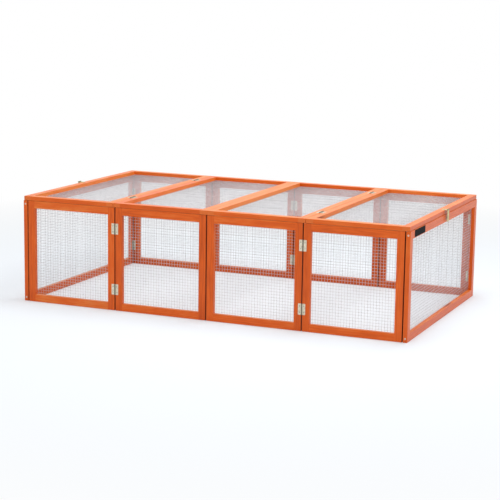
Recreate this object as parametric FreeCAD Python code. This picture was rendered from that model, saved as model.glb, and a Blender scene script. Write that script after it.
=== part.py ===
"""Folding outdoor run for small pets: framed wire-mesh walls and a framed wire-mesh roof.

Sizes are in millimetres. +X runs along the length, +Y to the back and +Z up, and the origin is on
the ground under the middle of the run.
"""
import FreeCAD, Part
import math
import os
from FreeCAD import Vector

# Overall sizes, measured over the boards
length = 1810.0
depth = 1040.0
height = 480.0

# Boards of every frame
board_width = 33.0
board_thickness = 19.0
roof_inset = 3.0
seat_clearance = 0.3

# Wire mesh, drawn with a strand for every third wire, held in a groove round the inside of its frame
mesh_pitch = 38.1
strand_width = 1.6
mesh_thickness = 1.0
groove_width = 1.4
groove_depth = 2.0
groove_end_clearance = 0.4
groove_setback = 2.3

# Butt hinges
panel_gap = 4.0
lid_gap = 1.5
hinge_height = 48.0
leaf_width = 16.5
leaf_thickness = 1.2
leaf_edge_margin = 0.5
knuckle_radius = 2.5
knuckle_clearance = 0.3
pin_radius = 1.2
pin_clearance = 0.05
wall_hinge_inset = 95.0
roof_hinge_inset = 185.0

# Countersunk wood screws
screw_head_radius = 2.8
screw_head_height = 1.4
screw_radius = 1.3
screw_length = 12.0
screw_spacing = 26.0
edge_screw_head_radius = 4.0
edge_screw_head_height = 2.2
edge_screw_radius = 2.0
edge_screw_length = 60.0

# Hasps in the middle of each end
hasp_width = 25.0
hasp_thickness = 1.5
hasp_seat = 16.0
hasp_screw_spacing = 15.0
strap_end = 9.0
strap_clearance = 0.4
slot_clearance = 1.25
staple_reach = 7.0
staple_span = 8.0
staple_wire_radius = 1.25
staple_depth = 10.0

# Blank label on the right end wall
label_length = 148.0
label_offset = 57.0
label_margin = 1.5
label_thickness = 0.3

# Places worked out from the sizes above
half_length = length / 2
half_depth = depth / 2
wall_height = height - board_thickness - seat_clearance
pin_offset = knuckle_radius
corner_pin_x = half_length - board_thickness - pin_offset
inner_pin_y = half_depth - board_thickness - pin_offset
outer_pin_y = half_depth + pin_offset
wall_panel_width = corner_pin_x / 2 - panel_gap
wall_hinge_heights = (wall_hinge_inset, wall_height - wall_hinge_inset)
corner_leaf_width = board_width - board_thickness - pin_offset - leaf_edge_margin
roof_half = half_length - roof_inset
roof_panel_width = (roof_half - lid_gap) / 2
roof_pin_x = roof_half - roof_panel_width - lid_gap / 2
roof_pin_z = height + pin_offset
roof_hinge_y = half_depth - roof_hinge_inset
rail_heights = (board_width / 2, wall_height - board_width / 2)
staple_z = rail_heights[1]
hasp_pin_x = half_length + staple_reach + strap_clearance + hasp_thickness / 2
hasp_pin_z = height + pin_offset
groove_face = board_thickness - groove_setback - groove_width

X = Vector(1, 0, 0)
Y = Vector(0, 1, 0)
Z = Vector(0, 0, 1)


def place(shape, origin, along, inward):
    """Moves a shape drawn with X along it and Y into the wood to where it is fitted."""
    across = along.cross(inward)
    matrix = FreeCAD.Matrix(
        along.x, inward.x, across.x, origin.x,
        along.y, inward.y, across.y, origin.y,
        along.z, inward.z, across.z, origin.z,
        0, 0, 0, 1,
    )
    moved = shape.copy()
    moved.Placement = FreeCAD.Placement(matrix).multiply(shape.Placement)
    return moved


def box(low, high):
    """A box between two opposite corners."""
    size = high - low
    return Part.makeBox(size.x, size.y, size.z, low)


def frame_boards(width, tall):
    """Two stiles with two rails between them, outer face at Y 0, grooved inside for the mesh."""
    edge = board_width - groove_depth
    groove = box(
        Vector(edge, groove_face, edge),
        Vector(width - edge, groove_face + groove_width, tall - edge),
    )
    boards = []
    for left in (0, width - board_width):
        boards.append(box(Vector(left, 0, 0), Vector(left + board_width, board_thickness, tall)))
    for low in (0, tall - board_width):
        boards.append(box(
            Vector(board_width, 0, low),
            Vector(width - board_width, board_thickness, low + board_width),
        ))
    return [board.cut(groove) for board in boards]


def rectangle(left, low, right, high):
    """A closed rectangular wire in the XZ plane."""
    corners = [Vector(left, 0, low), Vector(right, 0, low), Vector(right, 0, high), Vector(left, 0, high)]
    return Part.makePolygon(corners + corners[:1])


def mesh_sheet(width, tall):
    """One sheet of square mesh with its edges in the groove of a frame of this size."""
    edge = board_width - groove_depth + groove_end_clearance
    sheet_width = width - 2 * edge
    sheet_height = tall - 2 * edge
    columns = int((sheet_width - strand_width) // mesh_pitch)
    rows = int((sheet_height - strand_width) // mesh_pitch)
    first_x = width / 2 - columns * mesh_pitch / 2 + strand_width / 2
    first_z = tall / 2 - rows * mesh_pitch / 2 + strand_width / 2
    opening = mesh_pitch - strand_width
    wires = [rectangle(edge, edge, width - edge, tall - edge)]
    for column in range(columns):
        for row in range(rows):
            x = first_x + column * mesh_pitch
            z = first_z + row * mesh_pitch
            wires.append(rectangle(x, z, x + opening, z + opening))
    face = Part.makeFace(wires, "Part::FaceMakerBullseye")
    face.translate(Vector(0, groove_face + (groove_width - mesh_thickness) / 2, 0))
    return face.extrude(Vector(0, mesh_thickness, 0))


def hinge_leaf(reach, span, knuckles, own, plate_near, plate_far):
    """A leaf along X from a pin on Z, with the numbered knuckles that it owns.

    The plate lies between two distances from the pin, measured into the wood.
    """
    step = span / knuckles
    clear = knuckle_radius + knuckle_clearance
    pieces = [box(Vector(clear, plate_near, -span / 2), Vector(reach, plate_far, span / 2))]
    for number in own:
        low = -span / 2 + number * step + knuckle_clearance / 2
        tall = step - knuckle_clearance
        pieces.append(Part.makeCylinder(knuckle_radius, tall, Vector(0, 0, low)))
        pieces.append(box(Vector(0, plate_near, low), Vector(clear, plate_far, low + tall)))
    bore = Part.makeCylinder(pin_radius + pin_clearance, 2 * span, Vector(0, 0, -span))
    return pieces[0].multiFuse(pieces[1:]).removeSplitter().cut(bore)


def wood_screw(head_radius, head_height, radius, long):
    """A countersunk screw that points along Y, with the top of its head at Y 0."""
    head = Part.makeCone(head_radius, radius, head_height, Vector(0, 0, 0), Y)
    shank = Part.makeCylinder(radius, long - head_height, Vector(0, head_height, 0), Y)
    return head.fuse(shank)


def screwed_leaf(reach, owns_ends):
    """A hinge leaf on a board, and the screws that hold it."""
    own = (0, 2, 4) if owns_ends else (1, 3)
    outer_face = pin_offset - leaf_thickness
    leaf = hinge_leaf(reach, hinge_height, 5, own, outer_face, pin_offset)
    middle = (panel_gap / 2 + reach) / 2
    screws = []
    for z in (-screw_spacing / 2, screw_spacing / 2):
        screw = wood_screw(screw_head_radius, screw_head_height, screw_radius, screw_length)
        screw.translate(Vector(middle, outer_face, z))
        leaf = leaf.cut(screw)
        screws.append(screw)
    return [leaf] + screws


def hinge_pin(span):
    """A pin on Z, as long as its hinge."""
    return Part.makeCylinder(pin_radius, span, Vector(0, 0, -span / 2))


parts = {}


def add(node, shapes):
    """Adds solids to a named piece."""
    parts.setdefault(node, []).extend(shapes)


def add_frame(name, width, tall, origin, along, inward):
    """A frame and its mesh, placed as one panel."""
    add(name + "_frame", [place(board, origin, along, inward) for board in frame_boards(width, tall)])
    add(name + "_mesh", [place(mesh_sheet(width, tall), origin, along, inward)])


def add_leaf(name, reach, owns_ends, pins, along, inward):
    """The same leaf of every hinge on one joint line, and the pins if this piece holds them."""
    for pin in pins:
        add(name + "_hinges", [place(s, pin, along, inward) for s in screwed_leaf(reach, owns_ends)])
        if owns_ends:
            add(name + "_hinge_pins", [place(hinge_pin(hinge_height), pin, along, inward)])


def wall_pins(x, y):
    """Where the hinges of an upright joint line have their middles."""
    return [Vector(x, y, z) for z in wall_hinge_heights]


def long_wall(side, away):
    """Four panels from left to right, hinged to each other and to the end walls.

    away is -1 at the front and 1 at the back.
    """
    outward = Y * away
    inward = outward * -1
    pin_x = [corner_pin_x * share for share in (-1, -0.5, 0, 0.5, 1)]
    panels = [f"{side}_panel_{number}" for number in (1, 2, 3, 4)]
    for number, name in enumerate(panels):
        first = pin_x[number] + panel_gap / 2
        last = first + wall_panel_width
        start, along = (first, X) if away < 0 else (last, X * -1)
        origin = Vector(start, away * half_depth, 0)
        add_frame(name, wall_panel_width, wall_height, origin, along, inward)
    for number in (1, 2, 3):
        outside = number != 2
        y = away * (outer_pin_y if outside else inner_pin_y)
        pins = wall_pins(pin_x[number], y)
        to_wood = inward if outside else outward
        add_leaf(panels[number - 1], leaf_width, True, pins, X * -1, to_wood)
        add_leaf(panels[number], leaf_width, False, pins, X, to_wood)
    for wall, name, x, towards in (
        ("left_end_wall", panels[0], pin_x[0], X),
        ("right_end_wall", panels[3], pin_x[4], X * -1),
    ):
        pins = wall_pins(x, away * inner_pin_y)
        add_leaf(wall, corner_leaf_width, True, pins, inward, towards * -1)
        add_leaf(name, corner_leaf_width, False, pins, towards, outward)


def staple(outward):
    """A bent-wire staple that stands out from an end wall's top rail."""
    radius = staple_span / 2
    straight = staple_reach - radius - staple_wire_radius
    upper = Vector(-staple_depth, 0, radius)
    upper_end = Vector(straight, 0, radius)
    lower_end = Vector(straight, 0, -radius)
    lower = Vector(-staple_depth, 0, -radius)
    tip = Vector(straight + radius, 0, 0)
    path = Part.Wire([
        Part.makeLine(upper, upper_end),
        Part.Arc(upper_end, tip, lower_end).toShape(),
        Part.makeLine(lower_end, lower),
    ])
    section = Part.Wire([Part.makeCircle(staple_wire_radius, upper, X)])
    wire = path.makePipeShell([section], True, False)
    return place(wire, Vector(outward * half_length, 0, staple_z), X * outward, Y * outward)


def end_wall(side, outward):
    """A wall over the ends of the long walls, with its edge screws and its hasp staple."""
    name = f"{side}_end_wall"
    origin = Vector(outward * half_length, -outward * half_depth, 0)
    add_frame(name, depth, wall_height, origin, Y * outward, X * -outward)
    screw_x = outward * (half_length - board_thickness / 2)
    for away in (-1, 1):
        for z in rail_heights:
            screw = wood_screw(
                edge_screw_head_radius, edge_screw_head_height, edge_screw_radius, edge_screw_length
            )
            add(name + "_edge_screws", [place(screw, Vector(screw_x, away * half_depth, z), X, Y * -away)])
    add(f"{side}_hasp_staple", [staple(outward)])


def roof_panel(name, left):
    """One roof panel with its outer face up."""
    origin = Vector(left, -half_depth, height)
    add_frame(name, roof_panel_width, depth, origin, X, Z * -1)


def lid_hinges(lid, outward):
    """The hinges on top of the roof between a lid and the middle panels."""
    pins = [Vector(outward * roof_pin_x, y, roof_pin_z) for y in (-roof_hinge_y, roof_hinge_y)]
    add_leaf("roof_centre", leaf_width, True, pins, X * -outward, Z * -1)
    add_leaf(lid, leaf_width, False, pins, X * outward, Z * -1)


def hasp(side, outward):
    """A plate on the lid with its pin, and the slotted strap that hangs in front of the staple."""
    pin = Vector(outward * hasp_pin_x, 0, hasp_pin_z)
    reach = hasp_pin_x - roof_half + hasp_seat
    plate = hinge_leaf(reach, hasp_width, 3, (0, 2), pin_offset - hasp_thickness, pin_offset)
    pieces = [hinge_pin(hasp_width)]
    for z in (-hasp_screw_spacing / 2, hasp_screw_spacing / 2):
        screw = wood_screw(screw_head_radius, screw_head_height, screw_radius, screw_length)
        screw.translate(Vector(reach - hasp_seat / 2, pin_offset - hasp_thickness, z))
        plate = plate.cut(screw)
        pieces.append(screw)
    pieces.append(plate)
    add(f"{side}_hasp_plate", [place(s, pin, X * -outward, Z * -1) for s in pieces])
    slot_drop = hasp_pin_z - staple_z
    slot_length = staple_span + 2 * staple_wire_radius + 2 * slot_clearance
    slot_width = 2 * staple_wire_radius + 2 * slot_clearance
    strap = hinge_leaf(
        slot_drop + slot_length / 2 + strap_end, hasp_width, 3, (1,), -hasp_thickness / 2, hasp_thickness / 2
    )
    slot = box(
        Vector(slot_drop - slot_length / 2, -hasp_thickness, -slot_width / 2),
        Vector(slot_drop + slot_length / 2, hasp_thickness, slot_width / 2),
    )
    add(f"{side}_hasp_strap", [place(strap.cut(slot), pin, Z * -1, X * -outward)])


def blank_label():
    """A plain plate on the right end wall's top rail."""
    low = Vector(half_length, -half_depth + label_offset, wall_height - board_width + label_margin)
    high = Vector(half_length + label_thickness, low.y + label_length, wall_height - label_margin)
    add("blank_label", [box(low, high)])


long_wall("front", -1)
long_wall("back", 1)
for side, outward in (("left", -1), ("right", 1)):
    end_wall(side, outward)
    hasp(side, outward)
    lid_hinges(f"{side}_lid", outward)
roof_panel("left_lid", -roof_half)
roof_panel("roof_centre_left", -roof_panel_width)
roof_panel("roof_centre_right", 0)
roof_panel("right_lid", roof_half - roof_panel_width)
blank_label()

os.makedirs("parts", exist_ok=True)
for node, shapes in parts.items():
    shape = shapes[0] if len(shapes) == 1 else Part.makeCompound(shapes)
    shape.exportStep(f"parts/{node}.step")
fold_thickness = 6 * board_thickness + 10 * pin_offset
print(f"{len(parts)} pieces, walls fold to {math.ceil(fold_thickness)} mm thick")
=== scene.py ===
"""Looks of the folding pet run: stained frames, wire nets, hinges, hasps, screws and a blank label."""
import logging
import math
import random
from dataclasses import dataclass, field
from enum import Enum, IntEnum
from functools import cache
from typing import Any, Callable, Union

import bmesh
import bpy
from mathutils import Matrix, Vector


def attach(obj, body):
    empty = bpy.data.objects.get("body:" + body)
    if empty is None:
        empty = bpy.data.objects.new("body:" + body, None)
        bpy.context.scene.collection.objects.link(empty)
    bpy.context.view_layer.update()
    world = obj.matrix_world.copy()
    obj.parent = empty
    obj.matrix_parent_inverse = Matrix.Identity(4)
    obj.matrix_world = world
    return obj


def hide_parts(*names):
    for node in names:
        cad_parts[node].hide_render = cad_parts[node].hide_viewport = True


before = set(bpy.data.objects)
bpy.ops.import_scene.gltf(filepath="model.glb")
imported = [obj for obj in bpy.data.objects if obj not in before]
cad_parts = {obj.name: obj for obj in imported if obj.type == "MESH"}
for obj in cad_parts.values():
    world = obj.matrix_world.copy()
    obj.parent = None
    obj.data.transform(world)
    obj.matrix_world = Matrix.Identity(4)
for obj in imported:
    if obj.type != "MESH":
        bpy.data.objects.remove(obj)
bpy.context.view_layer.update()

LOG = logging.getLogger("pet_run")

Colour = tuple[float, float, float, float]
Triple = tuple[float, float, float]
Limits = tuple[float, float]
Mesh = bmesh.types.BMesh
Edge = bmesh.types.BMEdge
Vert = bmesh.types.BMVert

X, Y, Z = Vector((1, 0, 0)), Vector((0, 1, 0)), Vector((0, 0, 1))
WHITE: Colour = (1, 1, 1, 1)

# Sizes in metres that more than one class uses
BOARD_WIDTH = 0.033
BOARD_THICKNESS = 0.019
PANEL_GAP = 0.004
PIN_OFFSET = 0.0025
HASP_THICKNESS = 0.0015
HASP_SEAT = 0.016
STAPLE_REACH = 0.007

# Points closer than TINY are one, a face looks along an axis where its normal has FACING of it,
# and an edge that turns by more than SHARP radians is rounded
TINY = 1e-6
FACING = 0.9
SHARP = 1.0

# Steps of a small rounding and of a plate's corner
EASING_STEPS = 2
CORNER_STEPS = 4


class Slot(Enum):
    """The record's material slots."""

    WOOD = "stained_wood"
    WIRE = "galvanised_wire"
    HINGE = "hinge_zinc"
    SCREW = "screw_zinc"
    HASP = "brass_plated_steel"
    LABEL = "black_label"


class Knuckles(Enum):
    """Which of a butt hinge's five knuckles a leaf carries."""

    ENDS = (0, 2, 4)
    BETWEEN = (1, 3)


class Board(IntEnum):
    """The kinds of board, each by the panel's axis that it runs along."""

    RAIL = 0
    STILE = 2


def math_method(operation: str, reflected: bool = False) -> Callable[["Sock", "Term"], "Sock"]:
    """Writes the method behind one of a socket's operators.

    Args:
        operation: The Math node's operation.
        reflected: Whether the socket is the second term.

    Returns:
        The method.
    """
    def method(self: "Sock", term: "Term") -> "Sock":
        """A Math node on this socket and a term."""
        first, second = (term, self) if reflected else (self, term)
        return self.shader.node("Math", {0: first, 1: second}, operation=operation)

    return method


class Sock:
    """A node's output that can be used in sums like a number."""

    def __init__(self, shader: "Shader", output: bpy.types.NodeSocket) -> None:
        """Keeps the output and the shader that it belongs to."""
        self.shader = shader
        self.output = output

    def other(self, name: str) -> "Sock":
        """Another output of the same node."""
        return Sock(self.shader, self.output.node.outputs[name])

    __add__, __radd__ = math_method("ADD"), math_method("ADD", reflected=True)
    __sub__, __rsub__ = math_method("SUBTRACT"), math_method("SUBTRACT", reflected=True)
    __mul__, __rmul__ = math_method("MULTIPLY"), math_method("MULTIPLY", reflected=True)
    __pow__ = math_method("POWER")


Term = Union[Sock, float]


class Shader:
    """A node tree that is written as expressions."""

    def __init__(self, owner: Union[bpy.types.Material, bpy.types.World]) -> None:
        """Empties the owner's node tree.

        Args:
            owner: The material or the world.
        """
        owner.use_nodes = True
        self.tree = owner.node_tree
        self.tree.nodes.clear()

    def node(self, kind: str, inputs: dict[Union[str, int], Any], output: Union[str, int] = 0,
             **settings: Any) -> Sock:
        """Adds a node.

        Args:
            kind: The node's type without its ShaderNode prefix.
            inputs: Values or links of its sockets by name or number.
            output: The output that is wanted.
            **settings: The node's own settings, set first.

        Returns:
            The wanted output.
        """
        made = self.tree.nodes.new("ShaderNode" + kind)
        for name, value in settings.items():
            setattr(made, name, value)
        for name, value in inputs.items():
            if isinstance(value, Sock):
                self.tree.links.new(value.output, made.inputs[name])
            else:
                made.inputs[name].default_value = value
        return Sock(self, made.outputs[output])

    def blend(self, share: Term, low: Union[Sock, Colour], high: Union[Sock, Colour]) -> Sock:
        """A colour between two others."""
        return self.node("Mix", {0: share, 6: low, 7: high}, output=2, data_type="RGBA")

    def scaled(self, vector: Sock, factors: Triple) -> Sock:
        """A vector stretched along its axes."""
        return self.node("VectorMath", {0: vector, 1: factors}, operation="MULTIPLY")

    def length(self, vector: Sock) -> Sock:
        """How long a vector is."""
        return self.node("VectorMath", {0: vector}, output="Value", operation="LENGTH")

    def noise(self, vector: Sock, scale: float = 1.0, detail: float = 2.0, roughness: float = 0.5) -> Sock:
        """Smooth noise from 0 to 1."""
        sockets = {"Vector": vector, "Scale": scale, "Detail": detail, "Roughness": roughness}
        return self.node("TexNoise", sockets)

    def ramp(self, value: Sock, low: float, high: float) -> Sock:
        """A value carried from 0 at low to 1 at high, and held there."""
        return self.node("MapRange", {"Value": value, "From Min": low, "From Max": high})

    def attribute(self, name: str, output: str = "Fac") -> Sock:
        """One of the piece's own attributes."""
        return self.node("Attribute", {}, output=output, attribute_name=name)

    def place(self) -> Sock:
        """Where a point of the surface is, in Object coordinates."""
        return self.node("TexCoord", {}, output="Object")

    def bump(self, height: Sock, strength: float, distance: float) -> Sock:
        """A surface's normal with a fine relief."""
        return self.node("Bump", {"Strength": strength, "Distance": distance, "Height": height})

    def finish(self, surface: Sock, kind: str = "OutputMaterial") -> None:
        """Joins the surface to the tree's output."""
        end = self.tree.nodes.new("ShaderNode" + kind)
        self.tree.links.new(surface.output, end.inputs["Surface"])


@dataclass(frozen=True)
class StainedWood:
    """Softwood under an orange-brown stain, satin, with its grain along each board."""

    pale: Colour = (0.775, 0.222, 0.047, 1)
    middle: Colour = (0.73, 0.110, 0.006, 1)
    deep: Colour = (0.53, 0.066, 0.003, 1)
    end_colour: Colour = (0.78, 0.185, 0.035, 1)
    knot_colour: Colour = (0.24, 0.026, 0.004, 1)
    # Painted shade: the dark brown laid on the stiles' sides towards the panel gaps and on the faces inside
    # the run
    painted_shade: Colour = (0.17, 0.024, 0.005, 1)
    gloss_tint: Colour = (1.0, 0.98, 0.84, 1)
    gloss: float = 0.36
    ior: float = 1.45
    ring_spacing: float = 0.0031
    ring_sharpness: float = 2.6
    ring_bend: float = 0.016
    bend_stretch: Triple = (2.4, 9.0, 9.0)
    fibre_stretch: Triple = (11.0, 330.0, 330.0)
    streak_stretch: Triple = (3.2, 85.0, 85.0)
    blotch_stretch: Triple = (9.0, 30.0, 30.0)
    knot_stretch: Triple = (2.3, 17.0, 17.0)
    knot_reach: Limits = (0.17, 0.07)
    knot_choice: Limits = (0.66, 0.68)
    late_depth: float = 0.24
    fibre_depth: float = 0.36
    streak_depth: float = 0.30
    blotch_depth: float = 0.72
    tone_depth: float = 0.14
    # Paling from the wear mask: real wear on the arrises, a painted highlight on tops, upward rail faces and
    # window sides
    wear_and_light_lift: float = 0.45
    depth_level: float = 0.69
    palest: float = -0.4
    deepest: float = 0.50
    knot_share: float = 0.75
    end_share: float = 0.85
    cut_late: float = 0.55
    cut_fibre: float = 0.25
    fibre_height: float = 0.6
    late_height: float = 0.35
    knot_sink: float = 0.4
    relief: float = 0.22
    relief_depth: float = 0.0004
    rough: float = 0.27
    fibre_rough: float = 0.14
    # Extra roughness on worn arrises and painted highlights, on cut ends, and where shade is painted
    wear_and_light_rough: float = 0.06
    end_rough: float = 0.18
    painted_shade_rough: float = 0.4

    def late_wood(self, s: Shader, grain: Sock) -> Sock:
        """The dark part of the log's rings.

        Args:
            s: The material's shader.
            grain: Where a point was in the log.

        Returns:
            0 between the rings and 1 on them.
        """
        stretched = s.scaled(grain, self.bend_stretch)
        wander = s.node("TexNoise", {"Vector": stretched, "Scale": 1.0, "Detail": 1.0}, output="Color")
        bend = (0.0, self.ring_bend, self.ring_bend)
        bent = s.node("VectorMath", {0: wander, 1: bend, 2: grain}, operation="MULTIPLY_ADD")
        from_pith = s.length(s.scaled(bent, (0.0, 1.0, 1.0)))
        wave = s.node("Math", {0: from_pith * (math.tau / self.ring_spacing)}, operation="SINE")
        return (wave * 0.5 + 0.5) ** self.ring_sharpness

    def knots(self, s: Shader, grain: Sock) -> Sock:
        """The knots, in some of the cells that the log is divided into.

        Args:
            s: The material's shader.
            grain: Where a point was in the log.

        Returns:
            0 off the knots and 1 at their middles.
        """
        cells = s.node("TexVoronoi", {"Vector": s.scaled(grain, self.knot_stretch), "Scale": 1.0})
        chosen = s.node("SeparateColor", {"Color": cells.other("Color")})
        return s.ramp(cells, *self.knot_reach) * s.ramp(chosen, *self.knot_choice)

    def material(self, name: str) -> bpy.types.Material:
        """Makes the material.

        Args:
            name: Its name.

        Returns:
            The material, which reads the grain, tone and end_grain attributes, the wear attribute that also
            carries painted highlights, and the attribute of painted shade.
        """
        made = bpy.data.materials.new(name)
        s = Shader(made)
        grain = s.attribute("grain", "Vector")
        ends, wear_and_painted_light = s.attribute("end_grain"), s.attribute("wear_and_painted_light")
        tone, painted_shade = s.attribute("tone"), s.attribute("painted_shade")
        late, knot = self.late_wood(s, grain), self.knots(s, grain)
        fibre = s.noise(s.scaled(grain, self.fibre_stretch), detail=3.0, roughness=0.62)
        streak = s.noise(s.scaled(grain, self.streak_stretch), detail=2.0, roughness=0.55)
        blotch = s.noise(s.scaled(grain, self.blotch_stretch), detail=3.0, roughness=0.6)
        figure = self.late_depth * late + self.fibre_depth * fibre + self.streak_depth * streak
        stain = figure + self.blotch_depth * blotch + self.tone_depth * tone
        # Worn arrises are paler; the same paling on tops, upward rail faces and window sides is a painted
        # highlight
        depth = stain - self.wear_and_light_lift * wear_and_painted_light - self.depth_level
        light = s.blend(s.ramp(depth, self.palest, 0.0), self.pale, self.middle)
        body = s.blend(s.ramp(depth, 0.0, self.deepest), light, self.deep)
        body = s.blend(knot * self.knot_share, body, self.knot_colour)
        cut = s.blend(late * self.cut_late + fibre * self.cut_fibre, self.end_colour, self.deep)
        body = s.blend(ends * self.end_share, body, cut)
        height = fibre * self.fibre_height + late * self.late_height - knot * self.knot_sink
        rough = fibre * self.fibre_rough + wear_and_painted_light * self.wear_and_light_rough + ends * self.end_rough
        # The base colour turns to that dark brown where shade is painted
        s.finish(s.node("BsdfPrincipled", {
            "Base Color": s.blend(painted_shade, body, self.painted_shade),
            "Roughness": rough + painted_shade * self.painted_shade_rough + self.rough,
            "Normal": s.bump(height, self.relief, self.relief_depth),
            "IOR": self.ior, "Specular IOR Level": self.gloss, "Specular Tint": self.gloss_tint,
        }))
        return made


@dataclass(frozen=True)
class PlatedMetal:
    """Plated or galvanised steel with a mottled, slightly dull surface."""

    bright: Colour
    dull: Colour
    rough: float
    mottle: float
    metallic: float = 0.9
    # Painted shade: the dark colour laid on hinge knuckles and screw heads
    painted_metal_shade: Colour = (0.05, 0.045, 0.035, 1)
    metal_shade_share: float = 0.7
    fine_ratio: float = 9.0
    spangle_ratio: float = 3.0
    spangle_dulling: float = 0.25
    fine_dulling: float = 0.2
    dulling: Limits = (0.5, 0.95)
    dull_rough: float = 0.18
    fine_rough: float = 0.08
    relief: float = 0.12
    relief_depth: float = 0.0001

    def material(self, name: str) -> bpy.types.Material:
        """Makes the material.

        Args:
            name: Its name.

        Returns:
            The material, which reads Object coordinates and the attribute of painted shade.
        """
        made = bpy.data.materials.new(name)
        s = Shader(made)
        place = s.place()
        patches = s.noise(place, self.mottle, detail=3.0, roughness=0.6)
        fine = s.noise(place, self.mottle * self.fine_ratio)
        cells = {"Vector": place, "Scale": self.mottle * self.spangle_ratio}
        spangle = s.node("SeparateColor", {"Color": s.node("TexVoronoi", cells, output="Color")})
        dulled = s.ramp(patches + spangle * self.spangle_dulling + fine * self.fine_dulling, *self.dulling)
        plating = s.blend(dulled, self.bright, self.dull)
        s.finish(s.node("BsdfPrincipled", {
            # Painted shade darkens the knuckles and screw heads
            "Base Color": s.blend(s.attribute("metal_shade_mask") * self.metal_shade_share, plating, self.painted_metal_shade),
            "Metallic": self.metallic,
            "Roughness": dulled * self.dull_rough + fine * self.fine_rough + self.rough,
            "Normal": s.bump(fine, self.relief, self.relief_depth),
        }))
        return made


@dataclass(frozen=True)
class LabelFilm:
    """A plain plate of black film with a faint grain."""

    black: Colour = (0.004, 0.004, 0.005, 1)
    scuffed: Colour = (0.012, 0.012, 0.014, 1)
    scuff_scale: float = 90.0
    scuffing: Limits = (0.5, 0.8)
    pore_scale: float = 1500.0
    gloss: float = 0.06
    rough: float = 0.55
    scuff_rough: float = 0.2
    relief: float = 0.1
    relief_depth: float = 0.0001

    def material(self, name: str) -> bpy.types.Material:
        """Makes the material.

        Args:
            name: Its name.

        Returns:
            The material, which reads Object coordinates.
        """
        made = bpy.data.materials.new(name)
        s = Shader(made)
        place = s.place()
        scuffs = s.noise(place, self.scuff_scale, detail=4.0, roughness=0.65)
        pores = s.noise(place, self.pore_scale)
        s.finish(s.node("BsdfPrincipled", {
            "Base Color": s.blend(s.ramp(scuffs, *self.scuffing), self.black, self.scuffed),
            "Roughness": scuffs * self.scuff_rough + self.rough,
            "Normal": s.bump(pores, self.relief, self.relief_depth),
            "Specular IOR Level": self.gloss,
        }))
        return made


FINISHES: dict[Slot, Union[StainedWood, PlatedMetal, LabelFilm]] = {
    Slot.WOOD: StainedWood(),
    Slot.WIRE: PlatedMetal(
        bright=(0.70, 0.70, 0.715, 1), dull=(0.49, 0.49, 0.51, 1), rough=0.38, mottle=55.0, metallic=0.2,
    ),
    Slot.HINGE: PlatedMetal(
        bright=(0.77, 0.71, 0.56, 1), dull=(0.54, 0.48, 0.36, 1), rough=0.30, mottle=120.0,
    ),
    Slot.SCREW: PlatedMetal(
        bright=(0.76, 0.73, 0.62, 1), dull=(0.52, 0.48, 0.38, 1), rough=0.30, mottle=160.0,
    ),
    Slot.HASP: PlatedMetal(
        bright=(0.72, 0.63, 0.32, 1), dull=(0.48, 0.41, 0.20, 1), rough=0.28, mottle=130.0,
    ),
    Slot.LABEL: LabelFilm(),
}


@cache
def finish(slot: Slot) -> bpy.types.Material:
    """The material for one of the record's slots, made once."""
    return FINISHES[slot].material(slot.value)


def seat(origin: Vector, along: Vector, inward: Vector) -> Matrix:
    """Where a piece drawn with X along it and Y into the wood is fitted.

    Args:
        origin: The piece's own origin on the run.
        along: The way its X points.
        inward: The way its Y points.

    Returns:
        The matrix that carries it there.
    """
    across = along.cross(inward)
    return Matrix.Translation(origin) @ Matrix((along, inward, across)).transposed().to_4x4()


def only(geom: list, kind: type) -> list:
    """The elements of one kind in what an operator gives back."""
    return [element for element in geom if isinstance(element, kind)]


def round_edges(bm: Mesh, edges: list[Edge], offset: float, segments: int = EASING_STEPS) -> None:
    """Bevels edges with a round profile.

    Args:
        bm: The mesh.
        edges: Its edges to round.
        offset: The width of the rounding.
        segments: The steps of the rounding.
    """
    bmesh.ops.bevel(bm, geom=edges, offset=offset, offset_type="OFFSET", segments=segments, profile=0.5,
                    affect="EDGES", material=-1, clamp_overlap=True)


def sharp_edges(bm: Mesh) -> list[Edge]:
    """A mesh's edges that turn sharply."""
    return [edge for edge in bm.edges if edge.calc_face_angle(0) > SHARP]


def smooth_sides(bm: Mesh) -> None:
    """Shades a round bar's four-sided faces smooth and its caps flat."""
    for face in bm.faces:
        face.smooth = len(face.verts) == 4


def painted_metal_shade(bm: Mesh, amount: float) -> None:
    """Marks how much painted shade a metal mesh gets.

    Args:
        bm: The mesh.
        amount: 0 where it has none and 1 where it is darkest.
    """
    metal_shade_mask = bm.faces.layers.float.new("metal_shade_mask")
    for face in bm.faces:
        face[metal_shade_mask] = amount


def cuboid(low: Vector, high: Vector) -> Mesh:
    """A block between two opposite corners.

    Args:
        low: The lowest corner.
        high: The highest corner.

    Returns:
        A new mesh.
    """
    bm = bmesh.new()
    middle, size = (low + high) / 2, high - low
    bmesh.ops.create_cube(bm, size=1, matrix=Matrix.Translation(middle) @ Matrix.Diagonal((*size, 1)))
    return bm


def rod(radius: float, low: Vector, high: Vector, sides: int, rounding: float = 0.0) -> Mesh:
    """A closed rod between two points.

    Args:
        radius: Its radius.
        low: The middle of one end.
        high: The middle of the other end.
        sides: The sides round it.
        rounding: How far the rims of its ends are rounded.

    Returns:
        A new mesh, smooth along its sides.
    """
    bm = bmesh.new()
    run = high - low
    turn = run.to_track_quat("Z", "Y").to_matrix().to_4x4()
    bmesh.ops.create_cone(bm, cap_ends=True, segments=sides, radius1=radius, radius2=radius,
                          depth=run.length, matrix=Matrix.Translation((low + high) / 2) @ turn)
    smooth_sides(bm)
    if rounding:
        rims = [edge for edge in bm.edges if any(len(face.verts) > 4 for face in edge.link_faces)]
        round_edges(bm, rims, rounding)
    return bm


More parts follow.
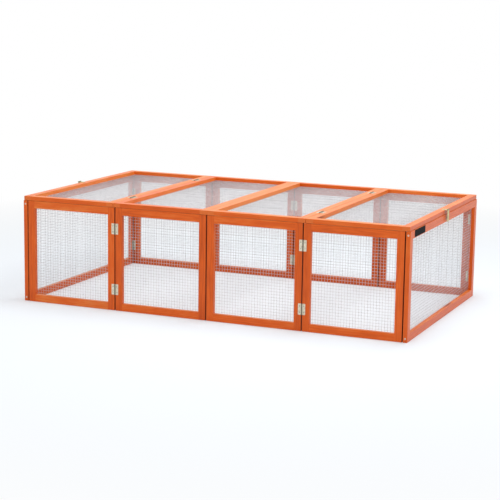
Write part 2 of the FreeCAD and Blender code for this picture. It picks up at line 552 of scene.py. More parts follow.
def draw_out(bm: Mesh, rim: list[Edge], leg: Vector) -> list[Union[Vert, Edge]]:
    """Draws a wire's open end out straight.

    Args:
        bm: The wire.
        rim: The edges of its end.
        leg: How far and which way it goes.

    Returns:
        The points and edges of its new end.
    """
    drawn = bmesh.ops.extrude_edge_only(bm, edges=rim)["geom"]
    bmesh.ops.translate(bm, verts=only(drawn, Vert), vec=leg)
    return only(drawn, Vert) + only(drawn, Edge)


@dataclass(frozen=True)
class CrossScrew:
    """A countersunk screw with a cross recess, whose finer sizes are shares of its radius and cone."""

    radius: float
    cone: float
    shank: float
    arm_share: float = 0.58
    arm_half_width: float = 0.13
    recess_depth: float = 0.75
    recess_taper: float = 0.72
    land: float = 0.15
    shank_end: float = 2.2

    def mesh(self) -> Mesh:
        """Builds the screw, its top at Y 0 and its shank towards +Y.

        Returns:
            A new mesh.
        """
        bm = bmesh.new()
        bmesh.ops.create_grid(bm, x_segments=3, y_segments=3, size=1)
        arm, half = self.arm_share * self.radius, self.arm_half_width * self.radius
        for vert in bm.verts:
            for axis in (0, 1):
                reach = arm if abs(vert.co[axis]) > FACING else half
                vert.co[axis] = math.copysign(reach, vert.co[axis])
        cross = [face for face in bm.faces if min(map(abs, face.calc_center_median().xy)) < half / 2]
        rim = [edge for edge in bm.edges if edge.is_boundary]
        sunk = only(bmesh.ops.extrude_face_region(bm, geom=cross)["geom"], Vert)
        bmesh.ops.delete(bm, geom=cross, context="FACES_ONLY")
        bmesh.ops.translate(bm, verts=sunk, vec=(0, 0, -self.recess_depth * self.cone))
        bmesh.ops.scale(bm, verts=sunk, vec=(self.recess_taper, self.recess_taper, 1))
        for reach, level in (
            (self.radius, 0.0),
            (self.radius, -self.land * self.cone),
            (self.shank, -self.cone),
            (self.shank, -self.shank_end * self.cone),
        ):
            ring = bmesh.ops.extrude_edge_only(bm, edges=rim)["geom"]
            for vert in only(ring, Vert):
                vert.co.xy = vert.co.xy.normalized() * reach
                vert.co.z = level
            rim = only(ring, Edge)
        bmesh.ops.contextual_create(bm, geom=rim)
        bmesh.ops.recalc_face_normals(bm, faces=bm.faces)
        bmesh.ops.rotate(bm, verts=bm.verts, cent=(0, 0, 0), matrix=Matrix.Rotation(math.pi / 2, 3, "X"))
        return bm


def add_grain_layers(bm: Mesh) -> None:
    """Adds the attributes that the stained wood reads.

    Args:
        bm: A board, or the piece that boards are collected into.
    """
    bm.verts.layers.float_vector.new("grain")
    bm.verts.layers.float.new("tone")
    for name in ("end_grain", "wear_and_painted_light", "painted_shade"):
        bm.faces.layers.float.new(name)


class Stock:
    """Meshes that are collected into one piece."""

    def __init__(self, slot: Slot) -> None:
        """Starts empty, with the attributes that the finish reads.

        Args:
            slot: The record's slot for the piece's finish.
        """
        self.slot = slot
        self.bm = bmesh.new()
        if slot is Slot.WOOD:
            add_grain_layers(self.bm)
        else:
            # Metal starts with no painted shade
            painted_metal_shade(self.bm, 0.0)

    def take(self, piece: Mesh, where: Matrix) -> None:
        """Adds a mesh and frees it.

        Args:
            piece: The mesh.
            where: The matrix that carries it to its place.
        """
        held = bpy.data.meshes.new("held")
        piece.to_mesh(held)
        piece.free()
        held.transform(where)
        self.bm.from_mesh(held)
        bpy.data.meshes.remove(held)

    def dress(self, name: str, body: str, *nodes: str) -> None:
        """Makes the finished piece.

        Args:
            name: The piece's name.
            body: The body that it rides on.
            *nodes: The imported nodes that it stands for.
        """
        mesh = bpy.data.meshes.new(name)
        self.bm.to_mesh(mesh)
        self.bm.free()
        piece = bpy.data.objects.new(name, mesh)
        bpy.context.scene.collection.objects.link(piece)
        mesh.materials.append(finish(self.slot))
        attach(piece, body)
        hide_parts(*nodes)
        LOG.info("%s: %d faces on %s", name, len(mesh.polygons), body)


@dataclass
class FramedPanel:
    """Two stiles and two rails round a wire net, drawn with X across, Y inwards and Z up."""

    name: str
    body: str
    width: float
    tall: float
    where: Matrix
    board_width: float = BOARD_WIDTH
    board_thickness: float = BOARD_THICKNESS
    arris: float = 0.0012
    arris_steps: int = 3
    inner_arris: float = 0.00035
    straight: float = 0.999
    log_length: float = 30.0
    off_middle: float = 0.014
    from_pith: Limits = (0.016, 0.045)
    stile_tone: float = 0.9
    # Painted shade on the stiles' sides towards the panel gaps and on the faces inside the run
    painted_shade_sides: bool = False
    inner_painted_shade: float = 0.2
    edge_wear: float = 0.4
    # Painted highlights on the outer face, on the rails' upward faces and on the stiles' sides towards the
    # window
    outer_highlight: float = 0.0
    sill_highlight: float = 0.8
    reveal_highlight: float = 0.35
    flat: float = 0.97
    sideways: float = 0.5
    side_skin: float = 0.001
    pitch: float = 0.0127
    wire_radius: float = 0.00056
    wire_sides: int = 8
    wire_wander: float = 0.00022
    weld: float = 0.85
    net_depth: float = 0.016
    net_margin: float = 0.004
    in_groove: float = 0.0016

    def eased(self, low: Vector, high: Vector, kind: Board) -> Mesh:
        """A board whose arrises are round outside the frame and nearly sharp inside it.

        Args:
            low: Its lowest corner in the panel.
            high: Its highest corner in the panel.
            kind: Whether it is a stile or a rail.

        Returns:
            A new mesh.
        """
        bm = cuboid(low, high)
        across = 2 - kind
        span = self.width if kind is Board.STILE else self.tall
        inner = high[across] if low[across] < span / 2 else low[across]

        def inside(edge: Edge) -> bool:
            """Whether an edge touches the side towards the window."""
            return any(abs(vert.co[across] - inner) < TINY for vert in edge.verts)

        def along(edge: Edge, axis: int) -> bool:
            """Whether an edge follows an axis."""
            run = edge.verts[0].co - edge.verts[1].co
            return abs(run[axis]) > self.straight * run.length

        outer = [edge for edge in bm.edges if along(edge, kind) and not inside(edge)]
        if kind is Board.STILE:
            outer += [edge for edge in bm.edges if along(edge, 0) or along(edge, 1) and not inside(edge)]
        round_edges(bm, outer, self.arris, self.arris_steps)
        window = [edge for edge in sharp_edges(bm) if along(edge, kind) and inside(edge)]
        round_edges(bm, window, self.inner_arris, 1)
        bmesh.ops.remove_doubles(bm, verts=bm.verts, dist=TINY)
        bm.normal_update()
        return bm

    def mark_wear_and_painted_light(self, bm: Mesh, kind: Board) -> None:
        """Marks a board's cut ends, its worn arrises, the faces that get a painted highlight and those that
        get painted shade.

        Args:
            bm: The board.
            kind: Whether it is a stile or a rail.
        """
        layers = bm.faces.layers.float
        ends, wear_and_painted_light, painted_shade = layers["end_grain"], layers["wear_and_painted_light"], layers["painted_shade"]
        stile = kind is Board.STILE
        for face in bm.faces:
            normal, x = face.normal, face.calc_center_median().x
            at_side = not self.side_skin < x < self.width - self.side_skin
            outside = abs(normal.x) > self.sideways and at_side
            face[ends] = float(abs(normal[kind]) > FACING)
            # Real wear pales the rounded arrises
            face[wear_and_painted_light] = self.edge_wear * (max(map(abs, normal)) < self.flat)
            # Painted shade on a stile's side towards a panel gap
            face[painted_shade] = float(self.painted_shade_sides and stile and outside)
            # Painted highlight on a stile's side towards the window
            if abs(normal.x) > FACING and stile and not outside:
                face[wear_and_painted_light] = self.reveal_highlight
            # Painted shade on the face inside the run
            if normal.y > FACING:
                face[painted_shade] = self.inner_painted_shade
            # Painted highlight on the outer face, which on the roof is its top
            if normal.y < -FACING:
                face[wear_and_painted_light] = self.outer_highlight
            # Painted highlight on a rail's upward face
            if normal.z > FACING and not stile:
                face[wear_and_painted_light] = self.sill_highlight

    def board(self, low: Vector, high: Vector, kind: Board, luck: random.Random) -> Mesh:
        """One board with its grain, its wear, its painted highlights and its painted shade.

        Args:
            low: Its lowest corner in the panel.
            high: Its highest corner in the panel.
            kind: Whether it is a stile or a rail.
            luck: Where the board was cut from the log.

        Returns:
            A new mesh.
        """
        bm = self.eased(low, high, kind)
        add_grain_layers(bm)
        grain, tone = bm.verts.layers.float_vector["grain"], bm.verts.layers.float["tone"]
        start = Vector((
            luck.uniform(0, self.log_length),
            luck.uniform(-self.off_middle, self.off_middle),
            luck.uniform(*self.from_pith),
        ))
        shade, middle = luck.uniform(-1, 1), (low + high) / 2
        if kind is Board.STILE:
            shade += self.stile_tone
        for vert in bm.verts:
            off = vert.co - middle
            vert[grain] = start + Vector((off[kind], off[2 - kind], off.y))
            vert[tone] = shade
        self.mark_wear_and_painted_light(bm, kind)
        return bm

    def boards(self) -> None:
        """Builds the four boards as one piece."""
        luck = random.Random(self.name)
        stock = Stock(Slot.WOOD)
        wide, thick = self.board_width, self.board_thickness
        for left in (0.0, self.width - wide):
            low, high = Vector((left, 0, 0)), Vector((left + wide, thick, self.tall))
            stock.take(self.board(low, high, Board.STILE, luck), self.where)
        for bottom in (0.0, self.tall - wide):
            low, high = Vector((wide, 0, bottom)), Vector((self.width - wide, thick, bottom + wide))
            stock.take(self.board(low, high, Board.RAIL, luck), self.where)
        stock.dress(f"{self.name}_boards", self.body, f"{self.name}_frame")

    def net(self) -> None:
        """Builds the welded net, with its upright wires on the outside."""
        luck = random.Random(self.name + " net")
        stock = Stock(Slot.WIRE)
        edge = self.board_width - self.in_groove
        layer = self.weld * self.wire_radius
        for axis, span, run, depth in (
            (0, self.width, self.tall, self.net_depth - layer),
            (2, self.tall, self.width, self.net_depth + layer),
        ):
            count = int((span - 2 * self.board_width - self.net_margin) // self.pitch)
            for number in range(count + 1):
                at = span / 2 + (number - count / 2) * self.pitch
                low, high = Vector((0, depth, 0)), Vector((0, depth, 0))
                low[axis] = at + luck.gauss(0, self.wire_wander)
                high[axis] = at + luck.gauss(0, self.wire_wander)
                low[2 - axis], high[2 - axis] = edge, run - edge
                stock.take(rod(self.wire_radius, low, high, self.wire_sides), self.where)
        stock.dress(f"{self.name}_net", self.body, f"{self.name}_mesh")

    def build(self) -> None:
        """Builds the boards and the net."""
        self.boards()
        self.net()


@dataclass(frozen=True)
class HingeParts:
    """Leaves, knuckles, pins and screws of the run's hinges, drawn round a pin on Z."""

    knuckle_radius: float = PIN_OFFSET
    knuckle_sides: int = 20
    knuckle_easing: float = 0.0002
    curl_easing: float = 0.0001
    clearance: float = 0.0003
    pin_radius: float = 0.0012
    pin_sides: int = 14
    pin_easing: float = 0.0004
    corner: float = 0.0022
    plate_easing: float = 0.00025
    fixing: CrossScrew = CrossScrew(radius=0.0028, cone=0.0014, shank=0.0013)
    fixing_proud: float = 0.0001
    # Share of painted shade on the screw heads
    fixing_shade: float = 0.75

    def plate(self, reach: float, span: float, near: float, far: float) -> Mesh:
        """A leaf's plate with rounded outer corners.

        Args:
            reach: How far it goes from the pin.
            span: Its length along the pin.
            near: Its outer face's distance from the pin into the wood.
            far: Its inner face's distance from the pin into the wood.

        Returns:
            A new mesh.
        """
        clear = self.knuckle_radius + self.clearance
        bm = cuboid(Vector((clear, near, -span / 2)), Vector((reach, far, span / 2)))
        outer = [edge for edge in bm.edges if all(vert.co.x > reach - TINY for vert in edge.verts)]
        corners = [edge for edge in outer if abs(edge.verts[0].co.z - edge.verts[1].co.z) < TINY]
        round_edges(bm, corners, self.corner, CORNER_STEPS)
        round_edges(bm, sharp_edges(bm), self.plate_easing)
        return bm

    def knuckle(self, low: float, tall: float, near: float, far: float) -> list[Mesh]:
        """A knuckle and the curl that joins it to its plate.

        Args:
            low: Where it starts along the pin.
            tall: Its length along the pin.
            near: The plate's outer face.
            far: The plate's inner face.

        Returns:
            New meshes.
        """
        barrel = rod(self.knuckle_radius, Z * low, Z * (low + tall), self.knuckle_sides, self.knuckle_easing)
        reach = self.knuckle_radius + 2 * self.clearance
        curl = cuboid(Vector((0, near, low)), Vector((reach, far, low + tall)))
        round_edges(curl, list(curl.edges), self.curl_easing, 1)
        # Painted shade over the whole knuckle, which makes the barrel's line dark
        for bm in (barrel, curl):
            painted_metal_shade(bm, 1.0)
        return [barrel, curl]

    def leaf(self, reach: float, span: float, count: int, own: tuple[int, ...], near: float,
             far: float) -> list[Mesh]:
        """A leaf with the knuckles that it owns.

        Args:
            reach: How far it goes from the pin.
            span: Its length along the pin.
            count: The knuckles of the whole hinge.
            own: The numbers of its own knuckles.
            near: The plate's outer face.
            far: The plate's inner face.

        Returns:
            New meshes.
        """
        step = span / count
        pieces = [self.plate(reach, span, near, far)]
        for number in own:
            low = -span / 2 + number * step + self.clearance / 2
            pieces += self.knuckle(low, step - self.clearance, near, far)
        return pieces

    def pin(self, span: float) -> Mesh:
        """A pin as long as its hinge, with rounded ends."""
        return rod(self.pin_radius, Z * (-span / 2), Z * (span / 2), self.pin_sides, self.pin_easing)

    def screws(self, x: float, near: float, spacing: float, luck: random.Random) -> list[Mesh]:
        """A leaf's two screws, each turned by chance.

        Args:
            x: How far they are from the pin.
            near: The plate's outer face, which their heads stand a little proud of.
            spacing: How far apart they are.
            luck: How far their crosses are turned.

        Returns:
            New meshes.
        """
        pieces = []
        for z in (-spacing / 2, spacing / 2):
            at = Matrix.Translation((x, near - self.fixing_proud, z))
            bm = self.fixing.mesh()
            turn = Matrix.Rotation(luck.uniform(0, math.pi), 4, "Y")
            bmesh.ops.transform(bm, matrix=at @ turn, verts=bm.verts)
            # Painted shade on the screw head
            painted_metal_shade(bm, self.fixing_shade)
            pieces.append(bm)
        return pieces


@dataclass
class ButtLeaves:
    """All the butt hinge leaves that one panel carries, with their screws and pins."""

    name: str
    body: str
    parts: HingeParts = HingeParts()
    height: float = 0.048
    thickness: float = 0.0012
    knuckles: int = 5
    panel_gap: float = PANEL_GAP
    screw_spacing: float = 0.026
    leaves: list[tuple[float, Knuckles, Matrix]] = field(default_factory=list)

    def add(self, reach: float, own: Knuckles, where: Matrix) -> None:
        """Notes a leaf to be built."""
        self.leaves.append((reach, own, where))

    def build(self) -> None:
        """Builds the leaves, and the pins that this panel holds."""
        luck = random.Random(self.name + " hinges")
        stock, pins = Stock(Slot.HINGE), Stock(Slot.HINGE)
        far = self.parts.knuckle_radius
        near = far - self.thickness
        for reach, own, where in self.leaves:
            middle = (self.panel_gap / 2 + reach) / 2
            pieces = self.parts.leaf(reach, self.height, self.knuckles, own.value, near, far)
            for piece in pieces + self.parts.screws(middle, near, self.screw_spacing, luck):
                stock.take(piece, where)
            if own is Knuckles.ENDS:
                pins.take(self.parts.pin(self.height), where)
        stock.dress(f"{self.name}_leaves", self.body, f"{self.name}_hinges")
        if any(own is Knuckles.ENDS for _, own, _ in self.leaves):
            pins.dress(f"{self.name}_pins", self.body, f"{self.name}_hinge_pins")


@dataclass
class Hasp:
    """A hasp's plate on a lid, its slotted strap, and the staple on the end wall."""

    side: str
    where_plate: Matrix
    where_strap: Matrix
    where_staple: Matrix
    plate_reach: float
    slot_drop: float
    parts: HingeParts = HingeParts()
    width: float = 0.025
    thickness: float = HASP_THICKNESS
    knuckles: int = 3
    seat_depth: float = HASP_SEAT
    screw_spacing: float = 0.015
    slot_length: float = 0.013
    slot_width: float = 0.005
    strap_end: float = 0.009
    strap_easing: float = 0.0003
    tip_radius: float = 0.007
    tip_steps: int = 6
    staple_reach: float = STAPLE_REACH
    staple_span: float = 0.008
    staple_wire: float = 0.00125
    staple_depth: float = 0.010
    staple_sides: int = 12
    staple_steps: int = 14

    def plate(self) -> None:
        """Builds the plate with its pin and screws."""
        luck = random.Random(self.side + " hasp")
        stock = Stock(Slot.HASP)
        far = self.parts.knuckle_radius
        near = far - self.thickness
        outer = (0, self.knuckles - 1)
        pieces = self.parts.leaf(self.plate_reach, self.width, self.knuckles, outer, near, far)
        pieces.append(self.parts.pin(self.width))
        pieces += self.parts.screws(self.plate_reach - self.seat_depth / 2, near, self.screw_spacing, luck)
        for piece in pieces:
            stock.take(piece, self.where_plate)
        stock.dress(f"{self.side}_hasp_top", f"{self.side}_lid", f"{self.side}_hasp_plate")

    def strap(self) -> None:
        """Builds the strap with its slot and rounded end."""
        stock = Stock(Slot.HASP)
        near, far = -self.thickness / 2, self.thickness / 2
        slot_end = self.slot_drop + self.slot_length / 2
        marks = (
            self.parts.knuckle_radius + self.parts.clearance,
            self.slot_drop - self.slot_length / 2,
            slot_end,
            slot_end + self.strap_end,
        )
        sides = (-self.width / 2, -self.slot_width / 2, self.slot_width / 2, self.width / 2)
        cells = len(marks) - 1
        bm = bmesh.new()
        bmesh.ops.create_grid(bm, x_segments=cells, y_segments=cells, size=cells / 2)
        for vert in bm.verts:
            column, row = round(vert.co.x + cells / 2), round(vert.co.y + cells / 2)
            vert.co = Vector((marks[column], near, sides[row]))
        middle = Vector((self.slot_drop, near, 0))
        hole = [f for f in bm.faces if (f.calc_center_median() - middle).length < self.slot_width / 2]
        bmesh.ops.delete(bm, geom=hole, context="FACES")
        end = [vert for vert in bm.verts if vert.co.x > marks[-1] - TINY]
        tips = [vert for vert in end if abs(vert.co.z) > self.width / 2 - TINY]
        bmesh.ops.bevel(bm, geom=tips, offset=self.tip_radius, offset_type="OFFSET", segments=self.tip_steps,
                        profile=0.5, affect="VERTICES", material=-1)
        skin = bmesh.ops.extrude_face_region(bm, geom=list(bm.faces))["geom"]
        bmesh.ops.translate(bm, verts=only(skin, Vert), vec=(0, far - near, 0))
        bmesh.ops.recalc_face_normals(bm, faces=bm.faces)
        round_edges(bm, sharp_edges(bm), self.strap_easing)
        stock.take(bm, self.where_strap)
        tall = self.width / self.knuckles - self.parts.clearance
        for piece in self.parts.knuckle(-tall / 2, tall, near, far):
            stock.take(piece, self.where_strap)
        stock.dress(f"{self.side}_hasp_flap", f"{self.side}_hasp_strap", f"{self.side}_hasp_strap")

    def staple(self) -> None:
        """Builds the bent-wire staple."""
        stock = Stock(Slot.HASP)
        bm = bmesh.new()
        radius = self.staple_span / 2
        straight = self.staple_reach - radius - self.staple_wire
        leg = X * (straight + self.staple_depth)
        start = Matrix.Translation((-self.staple_depth, 0, radius)) @ Matrix.Rotation(math.pi / 2, 4, "Y")
        bmesh.ops.create_circle(bm, cap_ends=True, segments=self.staple_sides, radius=self.staple_wire,
                                matrix=start)
        rim = draw_out(bm, list(bm.edges), leg)
        rim = bmesh.ops.spin(bm, geom=rim, cent=(straight, 0, 0), axis=(0, 1, 0), angle=math.pi,
                             steps=self.staple_steps, use_merge=False)["geom_last"]
        rim = draw_out(bm, only(rim, Edge), -leg)
        bmesh.ops.contextual_create(bm, geom=only(rim, Edge))
        bmesh.ops.remove_doubles(bm, verts=bm.verts, dist=TINY)
        bmesh.ops.recalc_face_normals(bm, faces=bm.faces)
        smooth_sides(bm)
        stock.take(bm, self.where_staple)
        stock.dress(f"{self.side}_hasp_loop", f"{self.side}_end_wall", f"{self.side}_hasp_staple")

    def build(self) -> None:
        """Builds the three pieces."""
        self.plate()
        self.strap()
        self.staple()


@dataclass
class EdgeScrews:
    """The screws through an end wall's stiles into its rails."""

    side: str
    places: list[Matrix]
    screw: CrossScrew = CrossScrew(radius=0.004, cone=0.0022, shank=0.002)
    proud: float = 0.0002

    def build(self) -> None:
        """Builds the four screws as one piece."""
        luck = random.Random(self.side + " edge screws")
        stock = Stock(Slot.SCREW)
        for where in self.places:
            turn = Matrix.Translation(Y * -self.proud) @ Matrix.Rotation(luck.uniform(0, math.pi), 4, "Y")
            stock.take(self.screw.mesh(), where @ turn)
        name = f"{self.side}_end_wall"
        stock.dress(f"{name}_screw_heads", name, f"{name}_edge_screws")


@dataclass
class BlankLabel:
    """The bare plate on the right end wall's top rail."""

    low: Vector
    high: Vector
    corner: float = 0.0015

    def build(self) -> None:
        """Builds the plate with rounded corners."""
        stock = Stock(Slot.LABEL)
        bm = cuboid(self.low, self.high)
        corners = [edge for edge in bm.edges if abs(edge.verts[0].co.x - edge.verts[1].co.x) > TINY]
        round_edges(bm, corners, self.corner, CORNER_STEPS)
        stock.take(bm, Matrix.Identity(4))
        stock.dress("label_plate", "right_end_wall", "blank_label")


@dataclass
class PetRun:
    """The whole run: where every panel, hinge, hasp, screw and label sits."""

    length: float = 1.810
    depth: float = 1.040
    height: float = 0.480
    board_width: float = BOARD_WIDTH
    board_thickness: float = BOARD_THICKNESS
    roof_inset: float = 0.003
    seat_clearance: float = 0.0003
    shadow_gap: float = 0.0008
    panel_gap: float = PANEL_GAP
    lid_gap: float = 0.0015
    pin_offset: float = PIN_OFFSET
    leaf_width: float = 0.0165
    leaf_edge_margin: float = 0.0005
    wall_hinge_inset: float = 0.095
    roof_hinge_inset: float = 0.185
    hasp_thickness: float = HASP_THICKNESS
    strap_clearance: float = 0.0004
    staple_reach: float = STAPLE_REACH
    hasp_seat: float = HASP_SEAT
    label_length: float = 0.148
    label_offset: float = 0.057
    label_margin: float = 0.0015
    label_thickness: float = 0.0003

    def __post_init__(self) -> None:
        """Works out the places that follow from the sizes."""
        self.half_length, self.half_depth = self.length / 2, self.depth / 2
        self.wall_height = self.height - self.board_thickness - self.seat_clearance
        self.wall_top = self.wall_height - self.shadow_gap
        self.corner_pin_x = self.half_length - self.board_thickness - self.pin_offset
        self.inner_pin_y = self.half_depth - self.board_thickness - self.pin_offset
        self.outer_pin_y = self.half_depth + self.pin_offset
        self.wall_panel_width = self.corner_pin_x / 2 - self.panel_gap
        self.corner_leaf = self.board_width - self.board_thickness - self.pin_offset - self.leaf_edge_margin
        self.roof_half = self.half_length - self.roof_inset
        self.roof_panel_width = (self.roof_half - self.lid_gap) / 2
        self.roof_pin_x = self.roof_half - self.roof_panel_width - self.lid_gap / 2
        self.rail_heights = (self.board_width / 2, self.wall_height - self.board_width / 2)
        strap_x = self.half_length + self.staple_reach + self.strap_clearance
        self.hasp_pin_x = strap_x + self.hasp_thickness / 2
        self.roof_pin_z = self.height + self.pin_offset
        self.panels: list[FramedPanel] = []
        self.leaves: dict[str, ButtLeaves] = {}

    def add_leaf(self, name: str, reach: float, own: Knuckles, pins: list[Vector], along: Vector,
                 inward: Vector) -> None:
        """Notes the same leaf at every hinge of one joint line.

        Args:
            name: The panel that carries it.
            reach: How far the leaf goes from its pin.
            own: The knuckles that it carries.
            pins: The middles of the pins.
            along: The way the leaf points from its pin.
            inward: The way into the wood.
        """
        leaves = self.leaves.setdefault(name, ButtLeaves(name, name))
        for pin in pins:
            leaves.add(reach, own, seat(pin, along, inward))

    def wall_pins(self, x: float, y: float) -> list[Vector]:
        """The middles of the hinges on an upright joint line."""
        heights = (self.wall_hinge_inset, self.wall_height - self.wall_hinge_inset)
        return [Vector((x, y, z)) for z in heights]

    def long_wall(self, side: str, away: int) -> None:
        """Sets out four panels, hinged to each other and to the end walls.

        Args:
            side: front or back.
            away: -1 at the front and 1 at the back.
        """
        outward, inward = Y * away, Y * -away
        pin_x = [self.corner_pin_x * share for share in (-1, -0.5, 0, 0.5, 1)]
        names = [f"{side}_panel_{number}" for number in (1, 2, 3, 4)]
        for number, name in enumerate(names):
            first = pin_x[number] + self.panel_gap / 2
            last = first + self.wall_panel_width
            start, along = (first, X) if away < 0 else (last, -X)
            where = seat(Vector((start, away * self.half_depth, 0)), along, inward)
            # Long-wall panels get painted shade on their stiles' sides towards the gaps
            self.panels.append(FramedPanel(name, name, self.wall_panel_width, self.wall_top, where,
                                           painted_shade_sides=True))
        for number, outside in ((1, True), (2, False), (3, True)):
            pins = self.wall_pins(pin_x[number], away * (self.outer_pin_y if outside else self.inner_pin_y))
            to_wood = inward if outside else outward
            self.add_leaf(names[number - 1], self.leaf_width, Knuckles.ENDS, pins, -X, to_wood)
            self.add_leaf(names[number], self.leaf_width, Knuckles.BETWEEN, pins, X, to_wood)
        for wall, name, x, towards in (("left_end_wall", names[0], pin_x[0], X),
                                       ("right_end_wall", names[-1], pin_x[-1], -X)):
            pins = self.wall_pins(x, away * self.inner_pin_y)
            self.add_leaf(wall, self.corner_leaf, Knuckles.ENDS, pins, inward, -towards)
            self.add_leaf(name, self.corner_leaf, Knuckles.BETWEEN, pins, towards, outward)

    def end_wall(self, side: str, outward: int) -> EdgeScrews:
        """Sets out an end wall.

        Args:
            side: left or right.
            outward: -1 on the left and 1 on the right.

        Returns:
            Its edge screws.
        """
        name = f"{side}_end_wall"
        origin = Vector((outward * self.half_length, -outward * self.half_depth, 0))
        where = seat(origin, Y * outward, X * -outward)
        self.panels.append(FramedPanel(name, name, self.depth, self.wall_top, where, reveal_highlight=0.0))
        x = outward * (self.half_length - self.board_thickness / 2)
        return EdgeScrews(side, [seat(Vector((x, away * self.half_depth, z)), X, Y * -away)
                                 for away in (-1, 1) for z in self.rail_heights])

    def roof(self) -> None:
        """Sets out the four roof panels and the hinges of the two lids."""
        for name, body, left in (
            ("left_lid", "left_lid", -self.roof_half),
            ("roof_centre_left", "roof_centre", -self.roof_panel_width),
            ("roof_centre_right", "roof_centre", 0.0),
            ("right_lid", "right_lid", self.roof_half - self.roof_panel_width),
        ):
            where = seat(Vector((left, -self.half_depth, self.height)), X, -Z)
            # The roof gets painted highlights on its tops and on its stiles' sides towards the windows
            self.panels.append(FramedPanel(name, body, self.roof_panel_width, self.depth, where,
                                           outer_highlight=0.8, sill_highlight=0.0, reveal_highlight=0.9, stile_tone=0.0))
        reach = self.half_depth - self.roof_hinge_inset
        for lid, outward in (("left_lid", -1), ("right_lid", 1)):
            pins = [Vector((outward * self.roof_pin_x, y, self.roof_pin_z)) for y in (-reach, reach)]
            self.add_leaf("roof_centre", self.leaf_width, Knuckles.ENDS, pins, X * -outward, -Z)
            self.add_leaf(lid, self.leaf_width, Knuckles.BETWEEN, pins, X * outward, -Z)

    def hasp(self, side: str, outward: int) -> Hasp:
        """Sets out a hasp.

        Args:
            side: left or right.
            outward: -1 on the left and 1 on the right.

        Returns:
            The hasp.
        """
        pin = Vector((outward * self.hasp_pin_x, 0, self.roof_pin_z))
        foot = Vector((outward * self.half_length, 0, self.rail_heights[1]))
        return Hasp(
            side,
            where_plate=seat(pin, X * -outward, -Z),
            where_strap=seat(pin, -Z, X * -outward),
            where_staple=seat(foot, X * outward, Y * outward),
            plate_reach=self.hasp_pin_x - self.roof_half + self.hasp_seat,
            slot_drop=self.roof_pin_z - self.rail_heights[1],
        )

    def label(self) -> BlankLabel:
        """Sets out the bare label plate.

        Returns:
            The label.
        """
        low = Vector((self.half_length, self.label_offset - self.half_depth,
                      self.wall_height - self.board_width + self.label_margin))
        size = Vector((self.label_thickness, self.label_length, self.board_width - 2 * self.label_margin))
        return BlankLabel(low, low + size)

    def build(self) -> None:
        """Builds and dresses every piece of the run."""
        self.long_wall("front", -1)
        self.long_wall("back", 1)
        for side, outward in (("left", -1), ("right", 1)):
            self.end_wall(side, outward).build()
            self.hasp(side, outward).build()
        self.roof()
        for panel in self.panels:
            panel.build()
        for leaves in self.leaves.values():
            leaves.build()
        self.label().build()


@dataclass(frozen=True)
class SoftLamp:
    """A soft rectangular lamp, aimed at a point."""

    name: str
    position: Triple
    aim: Triple
    width: float
    height: float
    watts: float

    def hang(self) -> None:
        """Adds the lamp to the scene."""
        data = bpy.data.lights.new(self.name, "AREA")
        data.shape = "RECTANGLE"
        data.size, data.size_y = self.width, self.height
        data.energy = self.watts
        position = Vector(self.position)
        turn = (position - Vector(self.aim)).to_track_quat("Z", "Y").to_matrix().to_4x4()
        lamp = bpy.data.objects.new(self.name, data)
        lamp.matrix_world = Matrix.Translation(position) @ turn
        bpy.context.scene.collection.objects.link(lamp)


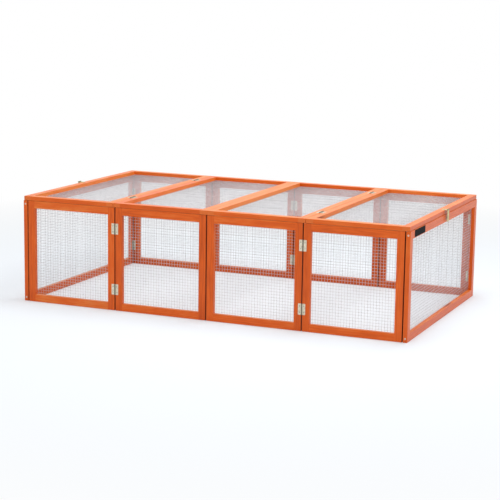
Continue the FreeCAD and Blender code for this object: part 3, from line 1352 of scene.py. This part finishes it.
@dataclass
class Studio:
    """The camera at the photograph's angle, soft light, and a pale floor."""

    lens: float = 107.398
    sensor: float = 36.0
    sight: float = 100.0
    position: Triple = (2.6265, -6.2201, 1.4521)
    yaw: float = math.radians(-23.033)
    pitch: float = math.radians(10.298)
    roll: float = math.radians(-0.857)
    ambient: float = 0.65
    floor_colour: Colour = (0.81, 0.866, 0.92, 1)
    floor_size: float = 30.0
    floor_drop: float = 0.0005
    floor_white: float = 0.25
    whitening: Limits = (1.3, 3.4)
    lamps: tuple[SoftLamp, ...] = (
        SoftLamp("overhead", (0.3, 0.2, 3.4), aim=(0, 0, 0.3), width=4.5, height=3.5, watts=50.0),
        SoftLamp("over_lid", (0.8, 0.0, 2.6), aim=(-0.4, 0, 0.3), width=1.2, height=1.2, watts=26.0),
        SoftLamp("right", (4.4, -1.2, 2.0), aim=(0, 0, 0.3), width=2.5, height=2.0, watts=20.0),
        SoftLamp("front", (-1.8, -5.2, 2.6), aim=(0, 0, 0.2), width=3.0, height=2.0, watts=40.0),
    )

    def camera(self) -> None:
        """Adds the camera."""
        data = bpy.data.cameras.new("camera")
        data.sensor_width, data.sensor_fit, data.lens = self.sensor, "HORIZONTAL", self.lens
        data.clip_end = self.sight
        ahead = Vector((math.sin(self.yaw) * math.cos(self.pitch), math.cos(self.yaw) * math.cos(self.pitch),
                        -math.sin(self.pitch)))
        level = Vector((math.cos(self.yaw), -math.sin(self.yaw), 0))
        down = ahead.cross(level)
        right = math.cos(self.roll) * level + math.sin(self.roll) * down
        below = -math.sin(self.roll) * level + math.cos(self.roll) * down
        camera = bpy.data.objects.new("camera", data)
        camera.matrix_world = seat(Vector(self.position), right, -below)
        bpy.context.scene.collection.objects.link(camera)
        bpy.context.scene.camera = camera

    def seen(self, s: Shader) -> Sock:
        """Tells where the background is looked at or mirrored.

        Args:
            s: The shader that asks.

        Returns:
            1 where it is seen, and 0 where it lights a surface.
        """
        path = s.node("LightPath", {}, output="Is Camera Ray")
        total = path + path.other("Is Glossy Ray") + path.other("Is Transmission Ray")
        return s.node("Clamp", {"Value": total})

    def world(self) -> None:
        """Adds the even light of the room, which is white where it is seen."""
        world = bpy.data.worlds.new("room")
        bpy.context.scene.world = world
        s = Shader(world)
        strength = self.seen(s) * (1.0 - self.ambient) + self.ambient
        s.finish(s.node("Background", {"Color": WHITE, "Strength": strength}), "OutputWorld")

    def floor(self) -> None:
        """Adds the floor, which keeps the run's shadow and turns white away from it."""
        bm = bmesh.new()
        bmesh.ops.create_grid(bm, x_segments=1, y_segments=1, size=self.floor_size)
        mesh = bpy.data.meshes.new("floor")
        bm.to_mesh(mesh)
        bm.free()
        floor = bpy.data.objects.new("floor", mesh)
        floor.location.z = -self.floor_drop
        bpy.context.scene.collection.objects.link(floor)
        material = bpy.data.materials.new("floor")
        mesh.materials.append(material)
        s = Shader(material)
        matt = s.node("BsdfDiffuse", {"Color": self.floor_colour})
        white = s.node("Emission", {"Color": WHITE, "Strength": 1.0})
        away = s.ramp(s.length(s.place()), *self.whitening)
        share = away * (1.0 - self.floor_white) + self.floor_white
        s.finish(s.node("MixShader", {0: self.seen(s) * share, 1: matt, 2: white}))

    def build(self) -> None:
        """Sets up the whole studio."""
        self.camera()
        self.world()
        self.floor()
        for lamp in self.lamps:
            lamp.hang()
        bpy.context.scene.view_settings.view_transform = "Standard"


def main() -> None:
    """Builds the run and its studio."""
    logging.basicConfig(level=logging.INFO, format="%(name)s %(message)s")
    PetRun().build()
    Studio().build()


if __name__ == "__main__":
    main()
